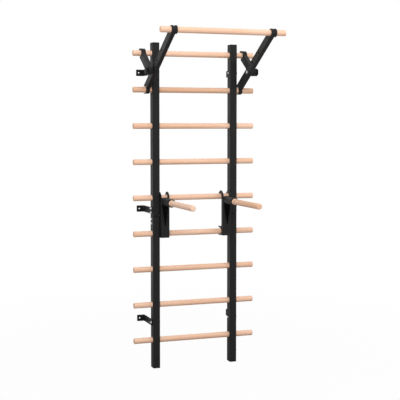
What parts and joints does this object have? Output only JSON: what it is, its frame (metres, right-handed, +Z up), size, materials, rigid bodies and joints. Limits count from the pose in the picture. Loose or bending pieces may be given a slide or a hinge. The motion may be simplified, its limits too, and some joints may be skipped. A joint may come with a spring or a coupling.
{
  "type": "swedish wall bars",
  "caption": "Wall-fixed gymnastic ladder: box-section steel posts with round beech rungs, a hang-on pull-up bar on braced arms, and hang-on dip handles.",
  "frame": {"origin": "on the floor, in the plane of the wall, midway between the two posts", "axes": "+X to the right along the rungs, +Y into the wall, +Z up along the posts"},
  "size_m": [0.9, 0.838, 2.3638],
  "materials": {
    "black_steel": "satin powder coat",
    "beech": "clear matt lacquer",
    "black_plastic": "moulded matt",
    "zinc_bolts": "bright zinc"
  },
  "bodies": {
    "frame": {"post_lower_left": "black_steel", "post_upper_left": "black_steel", "joining_sleeve_left": "black_steel", "top_cap_left": "black_plastic", "foot_cap_left": "black_plastic", "wall_bracket_lower_left": "black_steel", "wall_bracket_middle_left": "black_steel", "wall_bracket_upper_left": "black_steel", "bracket_bolt_lower_left": "zinc_bolts", "bracket_bolt_upper_left": "zinc_bolts", "seam_bolt_1_left": "zinc_bolts", "seam_bolt_2_left": "zinc_bolts", "seam_bolt_3_left": "zinc_bolts", "seam_bolt_4_left": "zinc_bolts", "post_lower_right": "black_steel", "post_upper_right": "black_steel", "joining_sleeve_right": "black_steel", "top_cap_right": "black_plastic", "foot_cap_right": "black_plastic", "wall_bracket_lower_right": "black_steel", "wall_bracket_middle_right": "black_steel", "wall_bracket_upper_right": "black_steel", "bracket_bolt_lower_right": "zinc_bolts", "bracket_bolt_upper_right": "zinc_bolts", "seam_bolt_1_right": "zinc_bolts", "seam_bolt_2_right": "zinc_bolts", "seam_bolt_3_right": "zinc_bolts", "seam_bolt_4_right": "zinc_bolts", "rung_1": "beech", "rung_2": "beech", "rung_3": "beech", "rung_4": "beech", "rung_5": "beech", "rung_6": "beech", "rung_7": "beech", "rung_8": "beech", "rung_9": "beech"},
    "pull_up_unit": {"pull_up_bar": "beech", "pull_up_arm_left": "black_steel", "pull_up_strut_left": "black_steel", "clamp_bolt_left": "zinc_bolts", "spacer_washer_left": "black_plastic", "pull_up_arm_right": "black_steel", "pull_up_strut_right": "black_steel", "clamp_bolt_right": "zinc_bolts", "spacer_washer_right": "black_plastic"},
    "knob_left": {"star_knob_left": "black_plastic"},
    "knob_right": {"star_knob_right": "black_plastic"},
    "dip_unit_left": {"dip_hanger_left": "black_steel", "dip_socket_left": "black_steel", "dip_gusset_left": "black_steel", "dip_bush_left": "black_plastic", "dip_handle_left": "beech"},
    "dip_unit_right": {"dip_hanger_right": "black_steel", "dip_socket_right": "black_steel", "dip_gusset_right": "black_steel", "dip_bush_right": "black_plastic", "dip_handle_right": "beech"}
  },
  "joints": [
    {"name": "pull_up_swing", "type": "hinge", "parent": "frame", "child": "pull_up_unit", "pos_m": [0, -0.19, 2.224], "axis": [-1, 0, 0], "range_deg": [0, 30]},
    {"name": "knob_turn_left", "type": "hinge", "parent": "pull_up_unit", "child": "knob_left", "pos_m": [-0.39, -0.36545, 2.09655], "axis": [-1, 0, 0], "continuous": true},
    {"name": "knob_turn_right", "type": "hinge", "parent": "pull_up_unit", "child": "knob_right", "pos_m": [0.39, -0.36545, 2.09655], "axis": [1, 0, 0], "continuous": true},
    {"name": "dip_swing_left", "type": "hinge", "parent": "frame", "child": "dip_unit_left", "pos_m": [-0.233, -0.19, 1.212], "axis": [-1, 0, 0], "range_deg": [0, 60]},
    {"name": "dip_swing_right", "type": "hinge", "parent": "frame", "child": "dip_unit_right", "pos_m": [0.233, -0.19, 1.212], "axis": [-1, 0, 0], "range_deg": [0, 60]}
  ]
}
